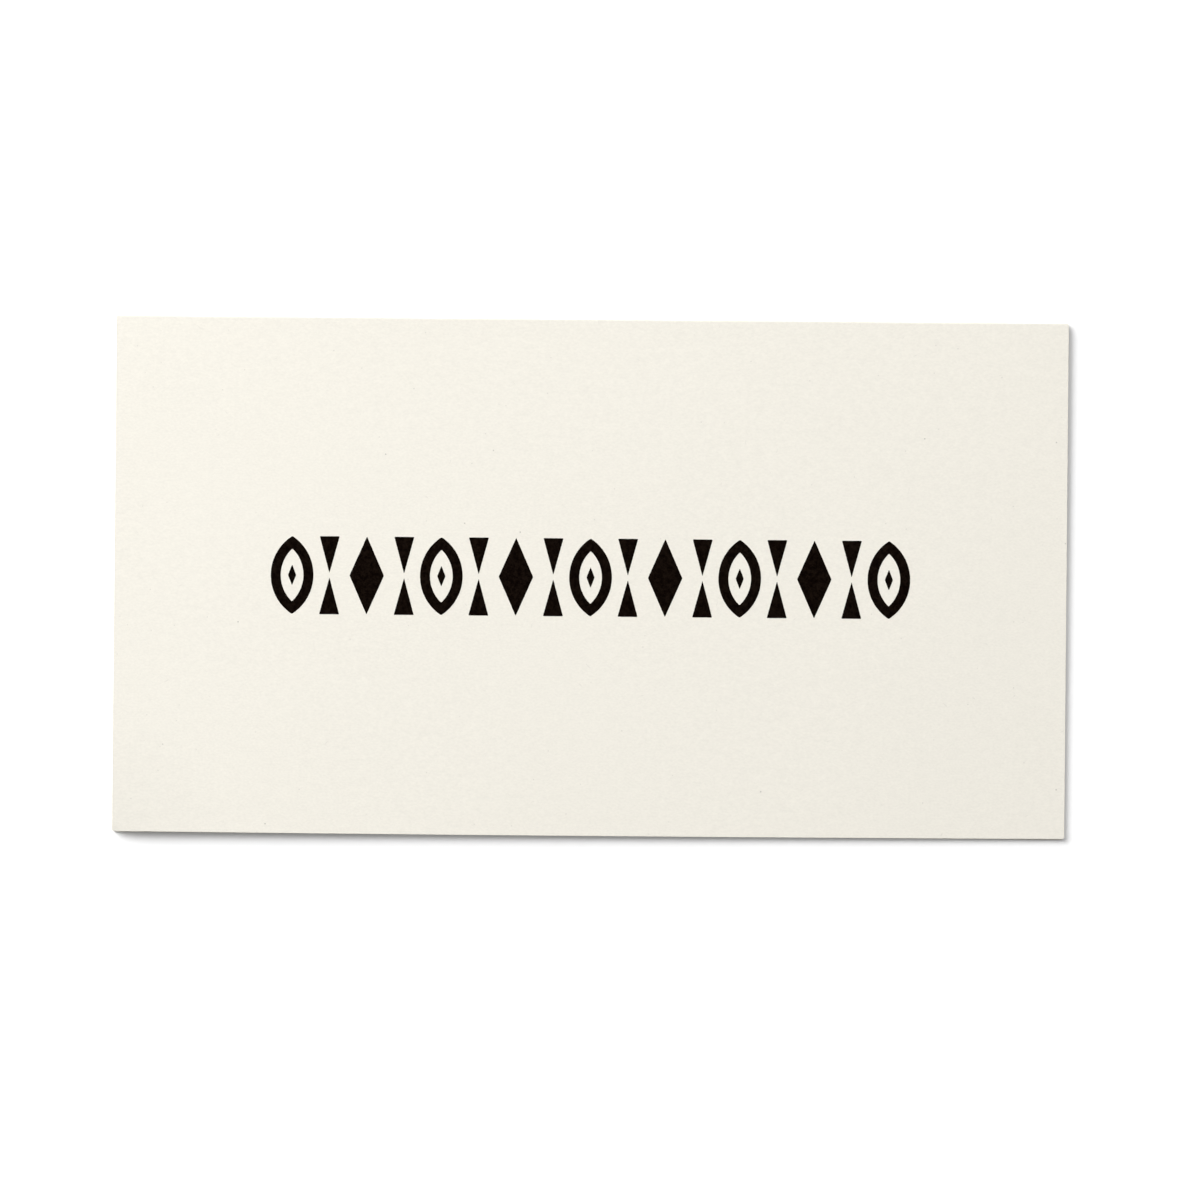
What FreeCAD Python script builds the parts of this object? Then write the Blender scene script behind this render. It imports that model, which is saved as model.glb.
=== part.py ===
import FreeCAD, Part
import math
import os
import Sketcher

# A greeting card, folded once, lying closed on its back leaf, with a printed frieze on its front leaf.
# Millimetres. X runs along the fold, +Y points to the fold and +Z is up. The origin is at the middle of
# the card's footprint, on the surface that it lies on.

SIZES = {
    # The board
    "card_width": 210.0,  # along the fold
    "card_depth": 114.0,  # from the free edges to the outside of the fold
    "board_thickness": 0.45,
    # The fold, and how far the front leaf springs off the back one
    "fold_gap": 0.5,  # inside the fold, which is its inner diameter
    "left_gap": 1.4,  # between the leaves at the left end of the free edges
    "right_gap": 0.1,  # between the leaves at the right end of the free edges
    # The frieze: almonds in outline, a solid lozenge between each two, and darts tip to tip in each space
    "band_width": 141.0,
    "mark_height": 17.2,
    "almond_count": 5,
    "almond_width": 9.4,
    "line_weight": 2.2,  # of an almond's outline
    "bead_width": 1.8,  # the small lozenge inside an almond
    "bead_height": 4.6,
    "lozenge_width": 7.6,
    "dart_width": 4.4,  # at its flat end
    "dart_gap": 1.0,  # between the tips of a pair
    # The ink
    "ink_depth": 0.05,  # pressed into the board
    "ink_relief": 0.02,  # proud of the board
}

ORIGIN = -1  # the sketch's own X axis, whose first point is the sketch's origin
UPRIGHT = -2  # the sketch's own Y axis
START = 1
END = 2
CENTRE = 3


def driving_sizes(doc):
    cells = doc.addObject("Spreadsheet::Sheet", "sizes")
    for row, (alias, size) in enumerate(SIZES.items(), start=1):
        cells.set(f"A{row}", alias)
        cells.set(f"B{row}", str(size))
        cells.setAlias(f"B{row}", alias)


def origin_feature(body, role):
    for feature in body.Origin.OriginFeatures:
        if feature.Role == role:
            return feature
    raise ValueError(f"{body.Name} has no {role}")


def sketch_on(body, name, plane, **offsets):
    """A sketch on one of the body's origin planes, moved by an expression for each named axis."""
    sketch = body.newObject("Sketcher::SketchObject", name)
    sketch.AttachmentSupport = [(origin_feature(body, plane), "")]
    sketch.MapMode = "FlatFace"
    for axis, expression in offsets.items():
        sketch.setExpression(f"AttachmentOffset.Base.{axis}", expression)
    return sketch


def dimension(sketch, kind, where, name, expression, start):
    """A dimension that follows the expression. The start value only helps the solver."""
    index = sketch.addConstraint(Sketcher.Constraint(kind, *where, start))
    sketch.renameConstraint(index, name)
    sketch.setExpression(f"Constraints.{name}", expression)


def line(sketch, start, end):
    return sketch.addGeometry(Part.LineSegment(FreeCAD.Vector(*start), FreeCAD.Vector(*end)))


def arc(sketch, centre, radius, first_deg, last_deg):
    circle = Part.Circle(FreeCAD.Vector(*centre), FreeCAD.Vector(0, 0, 1), radius)
    span = Part.ArcOfCircle(circle, math.radians(first_deg), math.radians(last_deg))
    return sketch.addGeometry(span)


def own_size(alias):
    """The expression and the start value of a dimension that is one of the sizes as it stands."""
    return f"sizes.{alias}", SIZES[alias]


def place_front_face(sketch, front_face, free_point, fold_outside, gap):
    """Dimensions that put the front leaf's outer face between its free edge and the fold's outside."""
    half_depth = SIZES["card_depth"] / 2
    outer = SIZES["board_thickness"] + SIZES["fold_gap"] / 2
    radius = "(sizes.board_thickness + sizes.fold_gap / 2)"
    height = f"2 * sizes.board_thickness + sizes.{gap}"
    free_height = 2 * SIZES["board_thickness"] + SIZES[gap]
    edge = (front_face, free_point, ORIGIN, START)
    rise = (ORIGIN, START, front_face, free_point)
    fold_place = (ORIGIN, START, fold_outside, CENTRE)
    from_origin = f"sizes.card_depth / 2 - {radius}"
    dimension(sketch, "DistanceX", edge, "front_edge", "sizes.card_depth / 2", half_depth)
    dimension(sketch, "DistanceY", rise, "free_height", height, free_height)
    dimension(sketch, "DistanceX", fold_place, "fold_centre", from_origin, half_depth - outer)
    dimension(sketch, "DistanceY", fold_place, "fold_level", radius, outer)
    dimension(sketch, "Radius", (fold_outside,), "fold_radius", radius, outer)


def sheet_section(body, name, side, gap):
    """The card's outline across the fold, at one end of it: side is -1 or 1, gap names the size there."""
    sketch = sketch_on(body, name, "YZ_Plane", z=f"{side} * sizes.card_width / 2")
    edge = -SIZES["card_depth"] / 2
    thick = SIZES["board_thickness"]
    inner = SIZES["fold_gap"] / 2
    outer = inner + thick
    centre = (-edge - outer, outer)
    free_height = 2 * thick + SIZES[gap]

    back_face = line(sketch, (edge, 0), (centre[0], 0))
    fold_outside = arc(sketch, centre, outer, -90, 90)
    front_face = line(sketch, (centre[0], 2 * outer), (edge, free_height))
    front_end = line(sketch, (edge, free_height), (edge, free_height - thick))
    front_inside = line(sketch, (edge, free_height - thick), (centre[0], thick + 2 * inner))
    fold_inside = arc(sketch, centre, inner, -90, 90)
    back_inside = line(sketch, (centre[0], thick), (edge, thick))
    back_end = line(sketch, (edge, thick), (edge, 0))

    for constraint in (
        ("Tangent", back_face, END, fold_outside, START),
        ("Tangent", front_face, START, fold_outside, END),
        ("Coincident", front_face, END, front_end, START),
        ("Perpendicular", front_face, front_end),
        ("Coincident", front_end, END, front_inside, START),
        ("Tangent", front_inside, END, fold_inside, END),
        ("Tangent", back_inside, START, fold_inside, START),
        ("Coincident", back_inside, END, back_end, START),
        ("Coincident", back_end, END, back_face, START),
        ("Coincident", fold_inside, CENTRE, fold_outside, CENTRE),
        ("PointOnObject", back_face, START, ORIGIN),
        ("Horizontal", back_inside),
        ("Vertical", back_end),
    ):
        sketch.addConstraint(Sketcher.Constraint(*constraint))

    place_front_face(sketch, front_face, END, fold_outside, gap)
    back_edge = (back_face, START, ORIGIN, START)
    dimension(sketch, "DistanceX", back_edge, "back_edge", "sizes.card_depth / 2", -edge)
    dimension(sketch, "Distance", (back_end,), "back_thickness", *own_size("board_thickness"))
    dimension(sketch, "Distance", (front_end,), "front_thickness", *own_size("board_thickness"))
    return sketch


def lofted(doc, name, draw):
    """A body lofted along the fold, from the section at its left end to the one at its right end."""
    body = doc.addObject("PartDesign::Body", name)
    left = draw(body, f"{name}_left", -1, "left_gap")
    right = draw(body, f"{name}_right", 1, "right_gap")
    doc.recompute()
    loft = body.newObject("PartDesign::AdditiveLoft", f"{name}_loft")
    loft.Profile = left
    loft.Sections = [right]
    loft.Ruled = True
    return body


def skin_section(body, name, side, gap):
    """A strip about the front leaf's outer face, from the ink's floor to its top, at one end of the fold.

    It reaches a mark's height each way from the middle, so that it holds the whole frieze.
    """
    sketch = sketch_on(body, name, "YZ_Plane", z=f"{side} * sizes.card_width / 2")
    edge = -SIZES["card_depth"] / 2
    outer = SIZES["board_thickness"] + SIZES["fold_gap"] / 2
    free_height = 2 * SIZES["board_thickness"] + SIZES[gap]
    reach = SIZES["mark_height"]
    fold_centre = FreeCAD.Vector(-edge - outer, outer)
    circle = Part.Circle(fold_centre, FreeCAD.Vector(0, 0, 1), outer)
    slope = (2 * outer - free_height) / (fold_centre.x - edge)

    def beside_face(place, offset):
        """A start point at a place along the leaf, this far above its outer face."""
        return place, free_height + slope * (place - edge) + offset

    fold_outside = sketch.addGeometry(circle, True)
    front_face = line(sketch, beside_face(edge, 0), beside_face(0, 0))
    sketch.setConstruction(front_face, True)
    corners = [
        beside_face(-reach, -SIZES["ink_depth"]),
        beside_face(reach, -SIZES["ink_depth"]),
        beside_face(reach, SIZES["ink_relief"]),
        beside_face(-reach, SIZES["ink_relief"]),
    ]
    floor = line(sketch, corners[0], corners[1])
    near_end = line(sketch, corners[1], corners[2])
    top = line(sketch, corners[2], corners[3])
    far_end = line(sketch, corners[3], corners[0])

    for constraint in (
        ("Tangent", front_face, fold_outside),
        ("PointOnObject", front_face, END, UPRIGHT),
        ("Coincident", floor, END, near_end, START),
        ("Coincident", near_end, END, top, START),
        ("Coincident", top, END, far_end, START),
        ("Coincident", far_end, END, floor, START),
        ("Vertical", near_end),
        ("Vertical", far_end),
        ("Parallel", floor, front_face),
        ("Parallel", top, front_face),
    ):
        sketch.addConstraint(Sketcher.Constraint(*constraint))

    place_front_face(sketch, front_face, START, fold_outside, gap)
    dimension(sketch, "DistanceX", (floor, START, ORIGIN, START), "far_reach", *own_size("mark_height"))
    dimension(sketch, "DistanceX", (ORIGIN, START, floor, END), "near_reach", *own_size("mark_height"))
    dimension(sketch, "Distance", (floor, START, front_face), "depth", *own_size("ink_depth"))
    dimension(sketch, "Distance", (top, START, front_face), "relief", *own_size("ink_relief"))
    return sketch


def lozenge(sketch, width_size, height_size):
    """A lozenge about the sketch's origin, as wide and as high as the two sizes named."""
    half_width = SIZES[width_size] / 2
    half_height = SIZES[height_size] / 2
    corners = [(0, -half_height), (half_width, 0), (0, half_height), (-half_width, 0)]
    sides = [line(sketch, start, end) for start, end in zip(corners, corners[1:] + corners[:1])]
    for side, following in zip(sides, sides[1:] + sides[:1]):
        sketch.addConstraint(Sketcher.Constraint("Coincident", side, END, following, START))
    to_right, to_top, to_left, to_bottom = sides
    for constraint in (
        ("PointOnObject", to_right, END, ORIGIN),
        ("PointOnObject", to_top, END, UPRIGHT),
        ("Symmetric", to_right, END, to_left, END, ORIGIN, START),
        ("Symmetric", to_top, END, to_bottom, END, ORIGIN, START),
    ):
        sketch.addConstraint(Sketcher.Constraint(*constraint))
    across = (to_left, END, to_right, END)
    upward = (to_bottom, END, to_top, END)
    dimension(sketch, "DistanceX", across, width_size, *own_size(width_size))
    dimension(sketch, "DistanceY", upward, height_size, *own_size(height_size))


def solid_lozenge(sketch):
    lozenge(sketch, "lozenge_width", "mark_height")


def arc_pair(sketch, centre_offset, radius):
    """Equal arcs, right and left, that meet in a point above and below the sketch's origin."""
    half_angle = math.degrees(math.acos(centre_offset / radius))
    right = arc(sketch, (-centre_offset, 0), radius, -half_angle, half_angle)
    left = arc(sketch, (centre_offset, 0), radius, 180 - half_angle, 180 + half_angle)
    for constraint in (
        ("Coincident", right, END, left, START),
        ("Coincident", right, START, left, END),
        ("Equal", right, left),
    ):
        sketch.addConstraint(Sketcher.Constraint(*constraint))
    return right, left


def almond(sketch):
    """A pointed oval in outline, of even weight, with a bead inside it."""
    tall, tip_to_tip = own_size("mark_height")
    wide, width = own_size("almond_width")
    weight = SIZES["line_weight"]
    radius = (tip_to_tip**2 + width**2) / (4 * width)
    bow = f"({tall} ^ 2 + {wide} ^ 2) / (4 * {wide})"
    centre_offset = radius - width / 2
    outer_right, outer_left = arc_pair(sketch, centre_offset, radius)
    inner_right, inner_left = arc_pair(sketch, centre_offset, radius - weight)
    for constraint in (
        ("PointOnObject", outer_right, END, UPRIGHT),
        ("Symmetric", outer_right, START, outer_right, END, ORIGIN, START),
        ("Coincident", inner_right, CENTRE, outer_right, CENTRE),
        ("Coincident", inner_left, CENTRE, outer_left, CENTRE),
    ):
        sketch.addConstraint(Sketcher.Constraint(*constraint))
    tips = (outer_right, START, outer_right, END)
    inner_bow = f"{bow} - sizes.line_weight"
    dimension(sketch, "DistanceY", tips, "tip_to_tip", tall, tip_to_tip)
    dimension(sketch, "Radius", (outer_right,), "outer_bow", bow, radius)
    dimension(sketch, "Radius", (inner_right,), "inner_bow", inner_bow, radius - weight)
    lozenge(sketch, "bead_width", "bead_height")


def dart_pair(sketch):
    """Two slender triangles, flat ends up and down, whose tips point at each other."""
    half_width = SIZES["dart_width"] / 2
    half_gap = SIZES["dart_gap"] / 2
    for name, way in (("upper", 1), ("lower", -1)):
        flat_end = way * SIZES["mark_height"] / 2
        tip = (0, way * half_gap)
        corner = (half_width, flat_end)
        far_corner = (-half_width, flat_end)
        first = line(sketch, tip, corner)
        top = line(sketch, corner, far_corner)
        last = line(sketch, far_corner, tip)
        for constraint in (
            ("Coincident", first, END, top, START),
            ("Coincident", top, END, last, START),
            ("Coincident", last, END, first, START),
            ("PointOnObject", first, START, UPRIGHT),
            ("Symmetric", top, START, top, END, UPRIGHT),
        ):
            sketch.addConstraint(Sketcher.Constraint(*constraint))
        dimension(sketch, "Distance", (top,), f"{name}_width", *own_size("dart_width"))
        to_tip = (ORIGIN, START, first, START)
        to_end = (ORIGIN, START, first, END)
        dimension(sketch, "DistanceY", to_tip, f"{name}_tip", f"{way} * sizes.dart_gap / 2", tip[1])
        dimension(sketch, "DistanceY", to_end, f"{name}_end", f"{way} * sizes.mark_height / 2", flat_end)


def mark_row(doc, body, name, draw, first, spacing, count):
    """A row of one mark along X. First, spacing and count are expressions, first being a place on X."""
    sketch = sketch_on(body, name, "XY_Plane", x=first)
    draw(sketch)
    pad = body.newObject("PartDesign::Pad", f"{name}_pad")
    pad.Profile = sketch
    widest_gap = "max(sizes.left_gap; sizes.right_gap; sizes.fold_gap)"
    pad.setExpression("Length", f"2 * (sizes.board_thickness + {widest_gap} + sizes.ink_relief)")
    doc.recompute()
    row = body.newObject("PartDesign::LinearPattern", f"{name}_row")
    row.Originals = [pad]
    row.Direction = (origin_feature(body, "X_Axis"), [""])
    row.Mode = "Spacing"
    row.setExpression("Offset", spacing)
    row.setExpression("Occurrences", count)
    body.Tip = row
    doc.recompute()


def mark_prisms(doc):
    """Every mark of the frieze as an upright prism that stands through both leaves of the card."""
    body = doc.addObject("PartDesign::Body", "mark_prisms")
    first = "(sizes.almond_width - sizes.band_width) / 2"
    # From an almond to the lozenge beside it
    step = "((sizes.band_width - sizes.almond_width) / (2 * (sizes.almond_count - 1)))"
    rows = (
        ("almond", almond, first, f"2 * {step}", "sizes.almond_count"),
        ("lozenge", solid_lozenge, f"{first} + {step}", f"2 * {step}", "sizes.almond_count - 1"),
        ("darts", dart_pair, f"{first} + {step} / 2", step, "2 * (sizes.almond_count - 1)"),
    )
    for row in rows:
        mark_row(doc, body, *row)
    return body


def joined(doc, kind, name, base, tool):
    result = doc.addObject(kind, name)
    result.Base = base
    result.Tool = tool
    return result


def check(doc, parts):
    failed = [thing.Name for thing in doc.Objects if {"Invalid", "Error"} & set(thing.State)]
    if failed:
        raise RuntimeError(f"these objects failed: {failed}")
    for part in parts:
        if part.Shape.isNull() or not part.Shape.isValid() or not part.Shape.Solids:
            raise RuntimeError(f"{part.Label} has no valid solid")


def main():
    doc = FreeCAD.newDocument("greeting_card")
    driving_sizes(doc)
    doc.recompute()

    # The ink is what the marks cut out of a thin skin about the front leaf's outer face. So it follows the
    # sprung leaf, and the board's pockets, cut with it, fit it exactly.
    sheet = lofted(doc, "sheet", sheet_section)
    skin = lofted(doc, "ink_skin", skin_section)
    marks = mark_prisms(doc)
    doc.recompute()

    ink = joined(doc, "Part::Common", "ink", skin, marks)
    ink.Label = "printed_frieze"
    board = joined(doc, "Part::Cut", "board", sheet, ink)
    board.Label = "folded_card"
    doc.recompute()

    parts = [board, ink]
    check(doc, parts)
    os.makedirs("parts", exist_ok=True)
    for part in parts:
        part.Shape.exportStep(f"parts/{part.Label}.step")
        box = part.Shape.BoundBox
        print(part.Label, len(part.Shape.Solids), "solids", round(part.Shape.Volume, 3), "mm3")
        print("  from", [round(low, 3) for low in (box.XMin, box.YMin, box.ZMin)])
        print("  to", [round(high, 3) for high in (box.XMax, box.YMax, box.ZMax)])


main()
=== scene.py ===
import math
from collections import namedtuple

import bpy
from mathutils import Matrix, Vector, noise


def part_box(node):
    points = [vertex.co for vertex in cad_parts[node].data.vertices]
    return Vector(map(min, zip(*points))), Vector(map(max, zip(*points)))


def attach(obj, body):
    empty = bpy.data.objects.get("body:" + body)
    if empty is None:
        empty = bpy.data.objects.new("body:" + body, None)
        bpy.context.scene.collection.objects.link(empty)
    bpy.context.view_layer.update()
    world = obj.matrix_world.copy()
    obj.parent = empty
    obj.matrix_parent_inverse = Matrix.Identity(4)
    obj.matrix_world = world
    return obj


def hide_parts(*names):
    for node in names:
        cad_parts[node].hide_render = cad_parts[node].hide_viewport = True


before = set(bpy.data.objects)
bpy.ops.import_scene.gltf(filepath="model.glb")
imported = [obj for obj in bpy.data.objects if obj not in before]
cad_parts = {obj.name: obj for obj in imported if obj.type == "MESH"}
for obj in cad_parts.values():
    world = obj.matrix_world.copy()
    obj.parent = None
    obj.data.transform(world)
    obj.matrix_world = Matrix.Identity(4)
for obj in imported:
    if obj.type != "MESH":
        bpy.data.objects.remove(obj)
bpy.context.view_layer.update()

# A folded greeting card of cream board with a black frieze, seen from straight above.
# Metres, in the CAD frame: X runs along the fold, +Y points to the fold and +Z is up.

MM = 0.001

# The card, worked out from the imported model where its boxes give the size
CARD_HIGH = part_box("folded_card")[1]
INK_LOW, INK_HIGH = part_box("printed_frieze")
HALF_WIDTH = CARD_HIGH.x
HALF_DEPTH = CARD_HIGH.y
BOARD = 0.45 * MM
FOLD_GAP = 0.5 * MM
RIGHT_GAP = 0.1 * MM
FOLD_RADIUS = BOARD + FOLD_GAP / 2
FOLD_Y = HALF_DEPTH - FOLD_RADIUS
LEFT_HEIGHT = CARD_HIGH.z
RIGHT_HEIGHT = 2 * BOARD + RIGHT_GAP

# The frieze
BAND_WIDTH = INK_HIGH.x - INK_LOW.x
MARK_HEIGHT = INK_HIGH.y - INK_LOW.y
ALMOND_COUNT = 5
ALMOND_WIDTH = 9.4 * MM
LINE_WEIGHT = 2.2 * MM
BEAD_WIDTH = 1.8 * MM
BEAD_HEIGHT = 4.6 * MM
LOZENGE_WIDTH = 7.6 * MM
DART_WIDTH = 4.4 * MM
DART_GAP = 1.0 * MM
INK_DEPTH = 0.05 * MM
INK_RELIEF = 0.02 * MM

# How finely the meshes follow their forms
LEAF_CELLS = 57
STATIONS = 105
FOLD_STEPS = 72
CORNER_STEPS = 4
OUTLINE_STEP = 0.2 * MM

# How the fold is pressed: 2 leaves it round, and more makes it squarer
FOLD_CRISPNESS = 5

# The front leaf's slight unevenness, and its level in the noise that gives it
WAVE_HEIGHT = 0.06 * MM
WAVE_LENGTH = 55 * MM
WAVE_LEVEL = 3.7

# The bow of the free edge, and the worn corners
EDGE_BOW = 0.22 * MM
CORNER_RADIUS = 0.45 * MM

# The wander of the ink's edges, and its level in the noise that gives it
EDGE_WANDER = 0.018 * MM
EDGE_WANDER_LENGTH = 0.5 * MM
EDGE_WANDER_LEVEL = 8.3

# The board's edges that turn by more than this angle are cut ones, and are eased
EASED_EDGE = 0.04 * MM
EASED_STEPS = 2
EASED_DEGREES = 60

# Below this angle two faces shade as one
CREASE_DEGREES = 12

# Colours, as linear light
WHITE = (1, 1, 1, 1)
BOARD_COLOUR = (0.88, 0.848, 0.765, 1)
CUT_COLOUR = (0.73, 0.69, 0.61, 1)
FLECK_COLOUR = (0.40, 0.38, 0.34, 1)
# Painted shade towards the lower left corner, and the greyer rubbed tip
CORNER_SHADE_AND_RUB_COLOUR = (0.46, 0.45, 0.42, 1)
INK_DEEP = (0.0012, 0.0003, 0.0001, 1)
INK_THIN = (0.0100, 0.0060, 0.0040, 1)
INK_WORN = (0.05, 0.042, 0.034, 1)

# Textures measure in millimetres. A cloud has the size of its lumps, the levels of finer lumps on them, and
# the share by which they change the tone
Cloud = namedtuple("Cloud", "size detail tone", defaults=[0.0])
BOARD_CLOUDS = Cloud(size=38.0, detail=2.0, tone=0.004)
BOARD_MOTTLE = Cloud(size=1.6, detail=3.0, tone=0.013)
BOARD_TOOTH = Cloud(size=0.40, detail=2.0, tone=0.032)
CUT_LAYERS = Cloud(size=0.9, detail=3.0, tone=0.05)
CUT_FIBRES = Cloud(size=0.25, detail=2.0, tone=0.04)
INK_MOTTLE = Cloud(size=0.9, detail=3.0)
INK_TOOTH = Cloud(size=0.3, detail=2.0)

# Spots have a cell that holds one at most, a radius, the share of the cells that hold one, and a strength.
# Their core is the share of the radius that has the full strength
Spots = namedtuple("Spots", "cell radius chance strength")
FAINT_FLECKS = Spots(cell=3.4, radius=0.20, chance=0.6, strength=0.27)
DARK_FLECKS = Spots(cell=6.0, radius=0.22, chance=0.5, strength=0.6)
FIBRES = Spots(cell=2.4, radius=0.13, chance=0.4, strength=0.16)
PINHOLES = Spots(cell=2.4, radius=0.10, chance=0.35, strength=0.25)
SPOT_CORE = 0.5

# How many times longer a texture is along each axis
BOARD_GRAIN = (1.6, 1.0, 1.0)
FIBRE_GRAIN = (7.0, 1.0, 1.0)
CUT_LAYER_GRAIN = (1.0, 1.0, 0.07)
CUT_FIBRE_GRAIN = (1.0, 1.0, 0.25)

# The ways that the board's loose fibres lie, in radians, and the size and depth of their curls
FIBRE_TURNS = (0.4, 1.3, 2.5)
CURL_SIZE = 2.5
CURL_DEPTH = 1.6

# The lower left corner, darker towards its tip. The wide darkening is painted shade where the leaf's curl
# there is not built, and the small one is the rubbed, greyer tip. The core is the share of each reach that
# has its full strength
CornerShadeAndRub = namedtuple("CornerShadeAndRub", "reach strength")
CORNER_SHADE_AND_RUBS = (CornerShadeAndRub(reach=26.0, strength=0.08), CornerShadeAndRub(reach=2.8, strength=0.09))
SHADE_AND_RUB_CORE = 0.2

# The stretches of a noise over which the tone and the roughness run from their least to their most
TONE_NOISE = (0.25, 0.75)
ROUGHNESS_NOISE = (0.2, 0.8)

# The stretch of the ink's two noises together over which it goes from deep to thin
THINNING_NOISE = (0.8, 1.25)

# How rough each surface is, how much it shines, and how high its bumps are
Finish = namedtuple("Finish", "roughness shine bump")
BOARD_FINISH = Finish(roughness=(0.82, 0.94), shine=0.25, bump=0.012 * MM)
CUT_FINISH = Finish(roughness=(0.88, 0.98), shine=0.15, bump=0.02 * MM)
INK_FINISH = Finish(roughness=(0.80, 0.94), shine=0.012, bump=0.006 * MM)

# How many times higher the board's mottle stands than its tooth
MOTTLE_RISE = 2.0

# The light. A level of 1 lights a white face that lies flat to plain white. Angles are in degrees, and
# the turn is from straight left towards the top of the picture
Lamp = namedtuple("Lamp", "level elevation turn distance size")
KEY = Lamp(level=0.60, elevation=29, turn=42, distance=2.1, size=2.1)
OVERHEAD = Lamp(level=0.285, elevation=70, turn=115, distance=3.0, size=4.2)
FILL_LEVEL = 0.13

# The floor: the white that is seen, the grey that lights the card, and the distances from the middle, in
# millimetres, between which it turns to plain white
FLOOR_WHITE = 1.19
FLOOR_GREY = 0.4
FLOOR_NEAR = 200
FLOOR_FAR = 360
FLOOR_SIZE = 40.0
FLOOR_DROP = 0.02 * MM

# The camera. The picture's width is the one at the height of the card's face
SENSOR = 36.0
CLIP_START = 0.01
CLIP_END = 100
CAMERA_HEIGHT = 1.3
VIEW_WIDTH = 264.6 * MM
VIEW_X = 2.13 * MM
VIEW_Y = -4.94 * MM
FACE_HEIGHT = 1.5 * MM
CAMERA_TURN = math.radians(0.5)


def mesh_object(name, points, faces):
    mesh = bpy.data.meshes.new(name)
    mesh.from_pydata([tuple(point) for point in points], [], faces)
    mesh.validate()
    piece = bpy.data.objects.new(name, mesh)
    bpy.context.scene.collection.objects.link(piece)
    return piece


def evenly(start, end, count):
    return [start + (end - start) * i / count for i in range(count + 1)]


# The folded sheet

def free_height(x):
    """Height of the front leaf's free edge, which springs up towards the left."""
    share = (x + HALF_WIDTH) / (2 * HALF_WIDTH)
    return LEFT_HEIGHT + (RIGHT_HEIGHT - LEFT_HEIGHT) * share


def leaf_slope(x):
    """Angle of the front leaf's outer face, from its free edge to where it meets the fold."""
    across = FOLD_Y + HALF_DEPTH
    up = FOLD_RADIUS - free_height(x)
    return math.atan2(up, across) + math.asin(FOLD_RADIUS / math.hypot(across, up))


def fade(distance, reach):
    """0 at an edge, rising smoothly to 1 at the reach."""
    share = min(1.0, max(0.0, distance / reach))
    return share * share * (3 - 2 * share)


def wave(x, y):
    """The leaf's gentle unevenness, which dies out towards its edges."""
    reach = WAVE_LENGTH / 2
    inside = fade(HALF_WIDTH - abs(x), reach) * fade(HALF_DEPTH - abs(y), reach)
    return WAVE_HEIGHT * inside * noise.noise(Vector((x / WAVE_LENGTH, y / WAVE_LENGTH, WAVE_LEVEL)))


def front_height(x, y):
    """Height of the front leaf's outer face."""
    return free_height(x) + math.tan(leaf_slope(x)) * (y + HALF_DEPTH) + wave(x, y)


def free_edge(x):
    """Where the front leaf's free edge lies. The cut bows out a little in the middle."""
    return -HALF_DEPTH + EDGE_BOW * (x / HALF_WIDTH)**2


def blunted(x, y):
    """The place moved in from the card's end where the corner is worn round."""
    inside = min(HALF_DEPTH - y, y - free_edge(x))
    if inside >= CORNER_RADIUS:
        return x
    room = CORNER_RADIUS - max(0.0, inside)
    reach = HALF_WIDTH - CORNER_RADIUS + math.sqrt(CORNER_RADIUS**2 - room**2)
    return max(-reach, min(reach, x))


def leaf_places(free, fold):
    """Places along a leaf from its free edge to the fold, close together by the worn corners."""
    close = [free + CORNER_RADIUS * (1 - math.cos(turn)) for turn in evenly(0, math.pi / 2, CORNER_STEPS)]
    return close[:-1] + evenly(close[-1], fold, LEAF_CELLS)


def fold_reach(share):
    """How far the fold's outside lies from its centre. Share is 0 at the back leaf and 1 at the front."""
    angle = math.pi * (share - 0.5)
    across = abs(math.cos(angle))**FOLD_CRISPNESS
    up = abs(math.sin(angle))**FOLD_CRISPNESS
    return FOLD_RADIUS / (across + up)**(1 / FOLD_CRISPNESS)


def sheet_path(x):
    """Pairs of points on the outer and the inner face, from one free edge round the fold to the other."""
    pairs = []
    for y in leaf_places(-HALF_DEPTH, FOLD_Y):
        place = blunted(x, y)
        pairs.append((Vector((place, y, 0)), Vector((place, y, BOARD))))
    slope = leaf_slope(x)
    for share in evenly(0, 1, FOLD_STEPS)[1:]:
        angle = (math.pi + slope) * share - math.pi / 2
        out = Vector((0, math.cos(angle), math.sin(angle)))
        centre = Vector((x, FOLD_Y, FOLD_RADIUS))
        outer = centre + out * fold_reach(share)
        inner = centre + out * (FOLD_RADIUS - BOARD)
        outer.x = blunted(x, outer.y)
        inner.x = outer.x
        pairs.append((outer, inner))
    # The last way out from the fold is also square to the front leaf
    front_places = leaf_places(free_edge(x), pairs[-1][0].y)
    for y in reversed(front_places[:-1]):
        place = blunted(x, y)
        outer = Vector((place, y, front_height(place, y)))
        pairs.append((outer, outer - out * BOARD))
    return pairs


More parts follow.
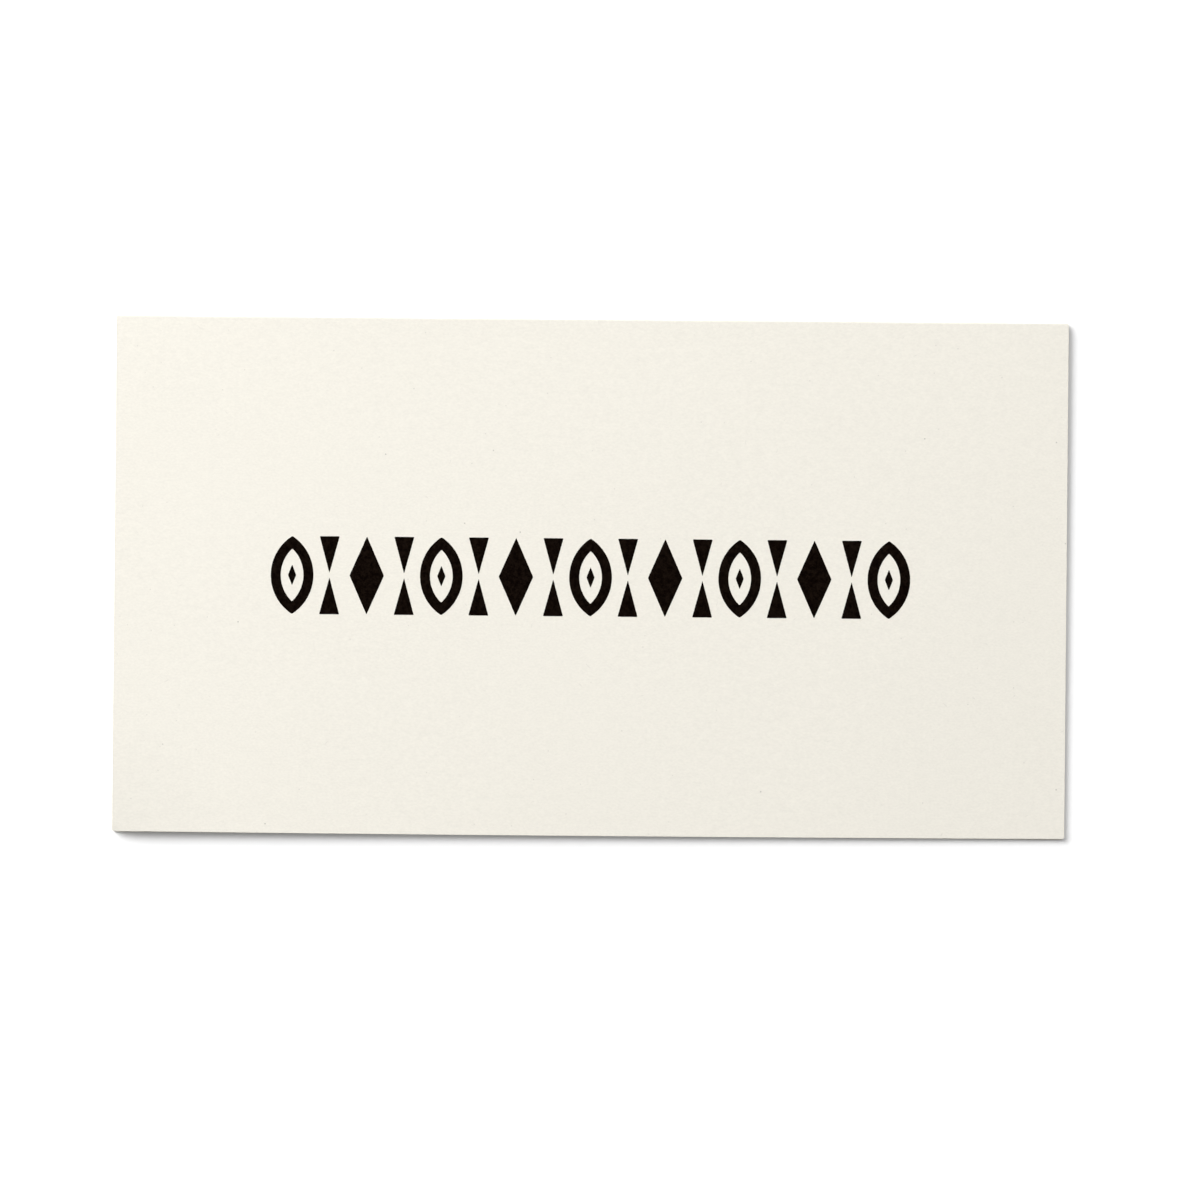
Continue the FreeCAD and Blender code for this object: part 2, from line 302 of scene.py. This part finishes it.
def folded_sheet():
    """The whole card as one closed mesh: outer faces, inner faces and the cut edges between them."""
    rows = [sheet_path(x) for x in evenly(-HALF_WIDTH, HALF_WIDTH, STATIONS)]
    length = len(rows[0])
    outer = [pair[0] for row in rows for pair in row]
    inner = [pair[1] for row in rows for pair in row]
    under = len(outer)

    def at(i, j):
        return i * length + j

    faces = []
    for i in range(len(rows) - 1):
        for j in range(length - 1):
            corners = (at(i, j), at(i, j + 1), at(i + 1, j + 1), at(i + 1, j))
            faces.append(corners)
            faces.append(tuple(under + corner for corner in reversed(corners)))
    leaf_faces = len(faces)
    last = len(rows) - 1
    for j in range(length - 1):
        faces.append((at(0, j + 1), at(0, j), under + at(0, j), under + at(0, j + 1)))
        faces.append((at(last, j), at(last, j + 1), under + at(last, j + 1), under + at(last, j)))
    for i in range(last):
        faces.append((at(i, 0), at(i + 1, 0), under + at(i + 1, 0), under + at(i, 0)))
        end = length - 1
        faces.append((at(i + 1, end), at(i, end), under + at(i, end), under + at(i + 1, end)))
    sheet = mesh_object("card_board", outer + inner, faces)
    sheet.data.materials.append(board_material())
    sheet.data.materials.append(cut_edge_material())
    for face in sheet.data.polygons[leaf_faces:]:
        face.material_index = 1
    return sheet


# The frieze's outlines, in the plane of the card

def lozenge_outline(width, height):
    return [(0, -height / 2), (width / 2, 0), (0, height / 2), (-width / 2, 0)]


def dart_outline(way):
    """A slender triangle with its flat end up (1) or down (-1), and its tip at the middle."""
    corners = [
        (0, way * DART_GAP / 2),
        (DART_WIDTH / 2, way * MARK_HEIGHT / 2),
        (-DART_WIDTH / 2, way * MARK_HEIGHT / 2),
    ]
    return corners if way > 0 else corners[::-1]


def almond_outline(inset):
    """Two arcs that meet in a point above and below. Inset is how far they lie inside the outer ones."""
    bow = (MARK_HEIGHT**2 + ALMOND_WIDTH**2) / (4 * ALMOND_WIDTH)
    centre = bow - ALMOND_WIDTH / 2
    radius = bow - inset
    half_angle = math.acos(centre / radius)
    steps = round(MARK_HEIGHT / OUTLINE_STEP)
    right = [
        (radius * math.cos(angle) - centre, radius * math.sin(angle))
        for angle in evenly(-half_angle, half_angle, steps)
    ]
    left = [(-x, -y) for x, y in right]
    return right[:-1] + left[:-1]


def with_close_points(corners):
    """The outline with points added along its straight sides."""
    points = []
    for start, end in zip(corners, corners[1:] + corners[:1]):
        steps = max(1, round(math.dist(start, end) / OUTLINE_STEP))
        for i in range(steps):
            share = i / steps
            x = start[0] + (end[0] - start[0]) * share
            y = start[1] + (end[1] - start[1]) * share
            points.append((x, y))
    return points


def softened(points):
    """The outline with its corners a little rounded, as ink leaves them."""
    count = len(points)
    rounded = []
    for i, (x, y) in enumerate(points):
        before = points[i - 1]
        after = points[(i + 1) % count]
        rounded.append(((before[0] + 2 * x + after[0]) / 4, (before[1] + 2 * y + after[1]) / 4))
    return rounded


def wandering(x, y):
    """The place with the small sideways wander of a printed edge."""
    spot = Vector((x / EDGE_WANDER_LENGTH, y / EDGE_WANDER_LENGTH, EDGE_WANDER_LEVEL))
    shift = noise.noise_vector(spot) * EDGE_WANDER
    return x + shift.x, y + shift.y


def laid(x, y, level):
    """A point this far above the front leaf's outer face."""
    return Vector((x, y, front_height(x, y) + level))


class Marks:
    """Gathers the ink's points and faces, mark by mark."""

    def __init__(self):
        self.points = []
        self.faces = []

    def ring(self, outline, shift, level):
        """Adds an outline's points at one level and returns their numbers."""
        first = len(self.points)
        for x, y in softened(outline):
            x, y = wandering(x + shift, y)
            self.points.append(laid(x, y, level))
        return list(range(first, len(self.points)))

    def strip(self, lower, upper):
        count = len(lower)
        for i in range(count):
            j = (i + 1) % count
            self.faces.append((lower[i], lower[j], upper[j], upper[i]))

    def solid(self, outline, shift):
        floor = self.ring(outline, shift, -INK_DEPTH)
        top = self.ring(outline, shift, INK_RELIEF)
        self.strip(floor, top)
        self.faces.append(tuple(top))
        self.faces.append(tuple(reversed(floor)))

    def hollow(self, outside, inside, shift):
        """A mark with a hole, whose two outlines have as many points."""
        outer_floor = self.ring(outside, shift, -INK_DEPTH)
        outer_top = self.ring(outside, shift, INK_RELIEF)
        inner_floor = self.ring(inside, shift, -INK_DEPTH)
        inner_top = self.ring(inside, shift, INK_RELIEF)
        self.strip(outer_floor, outer_top)
        self.strip(outer_top, inner_top)
        self.strip(inner_top, inner_floor)
        self.strip(inner_floor, outer_floor)


def frieze():
    marks = Marks()
    first = (ALMOND_WIDTH - BAND_WIDTH) / 2
    step = (BAND_WIDTH - ALMOND_WIDTH) / (2 * (ALMOND_COUNT - 1))
    outside = almond_outline(0)
    inside = almond_outline(LINE_WEIGHT)
    for number in range(ALMOND_COUNT):
        place = first + 2 * step * number
        marks.hollow(outside, inside, place)
        marks.solid(with_close_points(lozenge_outline(BEAD_WIDTH, BEAD_HEIGHT)), place)
    for number in range(ALMOND_COUNT - 1):
        place = first + step * (2 * number + 1)
        marks.solid(with_close_points(lozenge_outline(LOZENGE_WIDTH, MARK_HEIGHT)), place)
    for number in range(2 * (ALMOND_COUNT - 1)):
        place = first + step * (number + 0.5)
        for way in (1, -1):
            marks.solid(with_close_points(dart_outline(way)), place)
    ink = mesh_object("frieze_ink", marks.points, marks.faces)
    ink.data.materials.append(ink_material())
    return ink


# Finishing the meshes

def applied(piece):
    """The piece with its modifiers made part of its mesh."""
    graph = bpy.context.evaluated_depsgraph_get()
    mesh = bpy.data.meshes.new_from_object(piece.evaluated_get(graph))
    piece.modifiers.clear()
    piece.data = mesh
    return piece


def smooth_between_creases(piece):
    piece.data.polygons.foreach_set("use_smooth", [True] * len(piece.data.polygons))
    piece.data.set_sharp_from_angle(angle=math.radians(CREASE_DEGREES))


def ease_cut_edges(piece):
    bevel = piece.modifiers.new("eased_edges", "BEVEL")
    bevel.width = EASED_EDGE
    bevel.segments = EASED_STEPS
    bevel.limit_method = "ANGLE"
    bevel.angle_limit = math.radians(EASED_DEGREES)
    return applied(piece)


def cut_pockets(piece, tool):
    """Gives the ink its shallow place in the board."""
    cut = piece.modifiers.new("pockets", "BOOLEAN")
    cut.operation = "DIFFERENCE"
    cut.solver = "EXACT"
    cut.object = tool
    return applied(piece)


# Materials

class Nodes:
    """A tree of nodes, made and joined by short calls."""

    def __init__(self, tree):
        self.tree = tree

    def add(self, kind, **settings):
        node = self.tree.nodes.new(kind)
        for setting, value in settings.items():
            setattr(node, setting, value)
        return node

    def join(self, output, socket):
        self.tree.links.new(output, socket)

    def feed(self, value, socket):
        """Sets the socket to a number or colour, or joins it to an output."""
        if isinstance(value, bpy.types.NodeSocket):
            self.join(value, socket)
        else:
            socket.default_value = value

    def math(self, operation, first, second):
        node = self.add("ShaderNodeMath", operation=operation)
        self.feed(first, node.inputs[0])
        self.feed(second, node.inputs[1])
        return node.outputs[0]

    def mix(self, share, first, second):
        node = self.add("ShaderNodeMixShader")
        self.join(share, node.inputs[0])
        self.join(first, node.inputs[1])
        self.join(second, node.inputs[2])
        return node.outputs[0]

    def looked_at(self):
        """1 for rays that see, also by way of something shiny or clear, and 0 for those that only light."""
        path = self.add("ShaderNodeLightPath")
        sees = path.outputs["Is Camera Ray"]
        for ray in ("Is Glossy Ray", "Is Transmission Ray"):
            sees = self.math("MAXIMUM", sees, path.outputs[ray])
        return sees


class Shader(Nodes):
    """A material's nodes, whose textures follow the place on the object in millimetres."""

    def __init__(self, name):
        self.material = bpy.data.materials.new(name)
        self.material.use_nodes = True
        super().__init__(self.material.node_tree)
        self.surface = self.tree.nodes["Principled BSDF"]
        place = self.add("ShaderNodeTexCoord")
        in_mm = self.add("ShaderNodeVectorMath", operation="SCALE")
        in_mm.inputs["Scale"].default_value = 1 / MM
        self.join(place.outputs["Object"], in_mm.inputs[0])
        self.place = in_mm.outputs[0]

    def stretched(self, times, turn=0.0, place=None):
        """The place, for a texture this many times longer along each axis and turned about Z."""
        mapping = self.add("ShaderNodeMapping", vector_type="TEXTURE")
        mapping.inputs["Scale"].default_value = times
        mapping.inputs["Rotation"].default_value = (0, 0, turn)
        self.join(place or self.place, mapping.inputs["Vector"])
        return mapping.outputs[0]

    def bent(self, size, shift):
        """The place, pushed about so that what lies straight there curls."""
        texture = self.add("ShaderNodeTexNoise")
        texture.inputs["Scale"].default_value = 1 / size
        self.join(self.place, texture.inputs["Vector"])
        push = self.add("ShaderNodeVectorMath", operation="MULTIPLY_ADD")
        self.join(texture.outputs["Color"], push.inputs[0])
        push.inputs[1].default_value = (shift, shift, shift)
        self.join(self.place, push.inputs[2])
        return push.outputs[0]

    def cloud(self, cloud, place=None):
        """Soft noise about 0.5."""
        texture = self.add("ShaderNodeTexNoise")
        texture.inputs["Scale"].default_value = 1 / cloud.size
        texture.inputs["Detail"].default_value = cloud.detail
        self.join(place or self.place, texture.inputs["Vector"])
        return texture.outputs["Fac"]

    def distance_from(self, point):
        """How far the place is from a point, in millimetres."""
        node = self.add("ShaderNodeVectorMath", operation="DISTANCE")
        self.join(self.place, node.inputs[0])
        node.inputs[1].default_value = point / MM
        return node.outputs["Value"]

    def ramp(self, value, low, high, to_low=0.0, to_high=1.0):
        """The value taken from one range to another, and held at its ends."""
        node = self.add("ShaderNodeMapRange")
        self.join(value, node.inputs["Value"])
        node.inputs["From Min"].default_value = low
        node.inputs["From Max"].default_value = high
        node.inputs["To Min"].default_value = to_low
        node.inputs["To Max"].default_value = to_high
        return node.outputs[0]

    def blend(self, share, first, second):
        node = self.add("ShaderNodeMix", data_type="RGBA")
        self.feed(share, node.inputs["Factor"])
        self.feed(first, node.inputs["A"])
        self.feed(second, node.inputs["B"])
        return node.outputs["Result"]

    def diffuse(self, white):
        node = self.add("ShaderNodeBsdfDiffuse")
        node.inputs["Color"].default_value = (white, white, white, 1)
        return node.outputs[0]

    def specks(self, spots, place=None):
        """1 in the middle of each spot and 0 outside it."""
        texture = self.add("ShaderNodeTexVoronoi")
        texture.inputs["Scale"].default_value = 1 / spots.cell
        self.join(place or self.place, texture.inputs["Vector"])
        rim = spots.radius / spots.cell
        inside = self.ramp(texture.outputs["Distance"], rim, SPOT_CORE * rim)
        number = self.add("ShaderNodeSeparateColor")
        self.join(texture.outputs["Color"], number.inputs[0])
        chosen = self.math("LESS_THAN", number.outputs[0], spots.chance)
        return self.math("MULTIPLY", inside, chosen)

    def finish(self, colour, finish, uneven, height):
        """Gives the surface its colour and finish. Noises say where it is rough and how high it stands."""
        self.join(colour, self.surface.inputs["Base Color"])
        roughness = self.ramp(uneven, *ROUGHNESS_NOISE, *finish.roughness)
        self.join(roughness, self.surface.inputs["Roughness"])
        self.surface.inputs["Specular IOR Level"].default_value = finish.shine
        bump = self.add("ShaderNodeBump")
        bump.inputs["Distance"].default_value = finish.bump
        self.join(height, bump.inputs["Height"])
        self.join(bump.outputs[0], self.surface.inputs["Normal"])


def toned(shader, colour, parts):
    """The colour made lighter and darker by each noise in turn, as far as its cloud says."""
    tone = 1.0
    for noise_value, cloud in parts:
        change = shader.ramp(noise_value, *TONE_NOISE, -cloud.tone, cloud.tone)
        tone = shader.math("ADD", change, tone)
    node = shader.add("ShaderNodeVectorMath", operation="SCALE")
    node.inputs[0].default_value = colour[:3]
    shader.join(tone, node.inputs["Scale"])
    return node.outputs[0]


def spotted(shader, ground, spots, colour, place=None):
    """The ground with spots of another colour on it."""
    share = shader.math("MULTIPLY", shader.specks(spots, place), spots.strength)
    return shader.blend(share, ground, colour)


def board_material():
    """Uncoated cream board: cloudy, faintly felted, with a few grey flecks and short fibres."""
    shader = Shader("cream_board")
    clouds = shader.cloud(BOARD_CLOUDS)
    along_fold = shader.stretched(BOARD_GRAIN)
    mottle = shader.cloud(BOARD_MOTTLE, along_fold)
    tooth = shader.cloud(BOARD_TOOTH, along_fold)
    parts = ((clouds, BOARD_CLOUDS), (mottle, BOARD_MOTTLE), (tooth, BOARD_TOOTH))
    marked = toned(shader, BOARD_COLOUR, parts)
    for flecks in (FAINT_FLECKS, DARK_FLECKS):
        marked = spotted(shader, marked, flecks, FLECK_COLOUR)
    curled = shader.bent(CURL_SIZE, CURL_DEPTH)
    for turn in FIBRE_TURNS:
        along_fibre = shader.stretched(FIBRE_GRAIN, turn, curled)
        marked = spotted(shader, marked, FIBRES, FLECK_COLOUR, along_fibre)
    # Painted shade darkens the board towards the lower left corner, and the smaller reach greys the rubbed
    # tip
    from_corner = shader.distance_from(Vector((-HALF_WIDTH, -HALF_DEPTH, LEFT_HEIGHT)))
    for darkening in CORNER_SHADE_AND_RUBS:
        near = shader.ramp(from_corner, darkening.reach, SHADE_AND_RUB_CORE * darkening.reach)
        marked = shader.blend(shader.math("MULTIPLY", near, darkening.strength), marked, CORNER_SHADE_AND_RUB_COLOUR)
    relief = shader.math("ADD", tooth, shader.math("MULTIPLY", mottle, MOTTLE_RISE))
    shader.finish(marked, BOARD_FINISH, mottle, relief)
    return shader.material


def cut_edge_material():
    """The board's cut edge: rougher, a little darker, and streaked along its layers of fibre."""
    shader = Shader("cut_board_edge")
    layers = shader.cloud(CUT_LAYERS, shader.stretched(CUT_LAYER_GRAIN))
    fibres = shader.cloud(CUT_FIBRES, shader.stretched(CUT_FIBRE_GRAIN))
    streaked = toned(shader, CUT_COLOUR, ((layers, CUT_LAYERS), (fibres, CUT_FIBRES)))
    shader.finish(streaked, CUT_FINISH, fibres, shader.math("ADD", fibres, layers))
    return shader.material


def ink_material():
    """Matt warm black, faintly mottled, with pinholes where the board's tooth shows through."""
    shader = Shader("warm_black_ink")
    tooth = shader.cloud(INK_TOOTH)
    uneven = shader.math("ADD", shader.cloud(INK_MOTTLE), tooth)
    inked = shader.blend(shader.ramp(uneven, *THINNING_NOISE), INK_DEEP, INK_THIN)
    pricked = spotted(shader, inked, PINHOLES, INK_WORN)
    shader.finish(pricked, INK_FINISH, tooth, tooth)
    return shader.material


def floor_material():
    """White paper that keeps the card's shadow close by, and is plain white for the camera further off."""
    shader = Shader("white_floor")
    shader.tree.nodes.remove(shader.surface)
    near = shader.diffuse(FLOOR_WHITE)
    far = shader.add("ShaderNodeEmission")
    distance = shader.add("ShaderNodeVectorMath", operation="LENGTH")
    shader.join(shader.place, distance.inputs[0])
    away = shader.ramp(distance.outputs["Value"], FLOOR_NEAR, FLOOR_FAR)
    seen = shader.mix(away, near, far.outputs[0])
    chosen = shader.mix(shader.looked_at(), shader.diffuse(FLOOR_GREY), seen)
    shader.join(chosen, shader.tree.nodes["Material Output"].inputs["Surface"])
    return shader.material


# The studio

def floor():
    half = FLOOR_SIZE / 2
    corners = [(-half, -half, -FLOOR_DROP), (half, -half, -FLOOR_DROP)]
    corners += [(half, half, -FLOOR_DROP), (-half, half, -FLOOR_DROP)]
    plane = mesh_object("studio_floor", corners, [(0, 1, 2, 3)])
    plane.data.materials.append(floor_material())


def soft_lamp(name, lamp):
    """A round soft lamp that faces the card."""
    elevation = math.radians(lamp.elevation)
    turn = math.radians(lamp.turn)
    direction = Vector((
        -math.cos(elevation) * math.cos(turn),
        math.cos(elevation) * math.sin(turn),
        math.sin(elevation),
    ))
    light = bpy.data.lights.new(name, "AREA")
    light.shape = "DISK"
    light.size = lamp.size
    spread = lamp.distance**2 + (lamp.size / 2)**2
    light.energy = lamp.level * math.pi**2 * spread / math.sin(elevation)
    holder = bpy.data.objects.new(name, light)
    holder.location = direction * lamp.distance
    holder.rotation_mode = "QUATERNION"
    holder.rotation_quaternion = direction.to_track_quat("Z", "Y")
    holder.visible_camera = False
    bpy.context.scene.collection.objects.link(holder)


def surroundings():
    """Even soft light from all round, seen as plain white."""
    world = bpy.data.worlds.new("studio")
    world.use_nodes = True
    sky = Nodes(world.node_tree)
    fill = sky.tree.nodes["Background"]
    fill.inputs["Color"].default_value = WHITE
    fill.inputs["Strength"].default_value = FILL_LEVEL
    white = sky.add("ShaderNodeBackground")
    white.inputs["Color"].default_value = WHITE
    chosen = sky.mix(sky.looked_at(), fill.outputs[0], white.outputs[0])
    sky.join(chosen, sky.tree.nodes["World Output"].inputs["Surface"])
    bpy.context.scene.world = world


def camera():
    """Straight above the card, turned a little so that the card lies slightly clockwise in the picture."""
    lens = bpy.data.cameras.new("camera")
    lens.sensor_width = SENSOR
    lens.lens = SENSOR * CAMERA_HEIGHT / VIEW_WIDTH
    lens.clip_start = CLIP_START
    lens.clip_end = CLIP_END
    holder = bpy.data.objects.new("camera", lens)
    holder.location = (VIEW_X, VIEW_Y, CAMERA_HEIGHT + FACE_HEIGHT)
    holder.rotation_euler = (0, 0, CAMERA_TURN)
    bpy.context.scene.collection.objects.link(holder)
    bpy.context.scene.camera = holder


def main():
    bpy.context.scene.view_settings.view_transform = "Standard"
    camera()
    surroundings()
    soft_lamp("key_lamp", KEY)
    soft_lamp("overhead_lamp", OVERHEAD)
    floor()

    ink = frieze()
    board = cut_pockets(ease_cut_edges(folded_sheet()), ink)
    for piece, node, slot in (
        (board, "folded_card", "board"),
        (ink, "printed_frieze", "ink"),
    ):
        smooth_between_creases(piece)
        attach(piece, "root")
        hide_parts(node)


main()
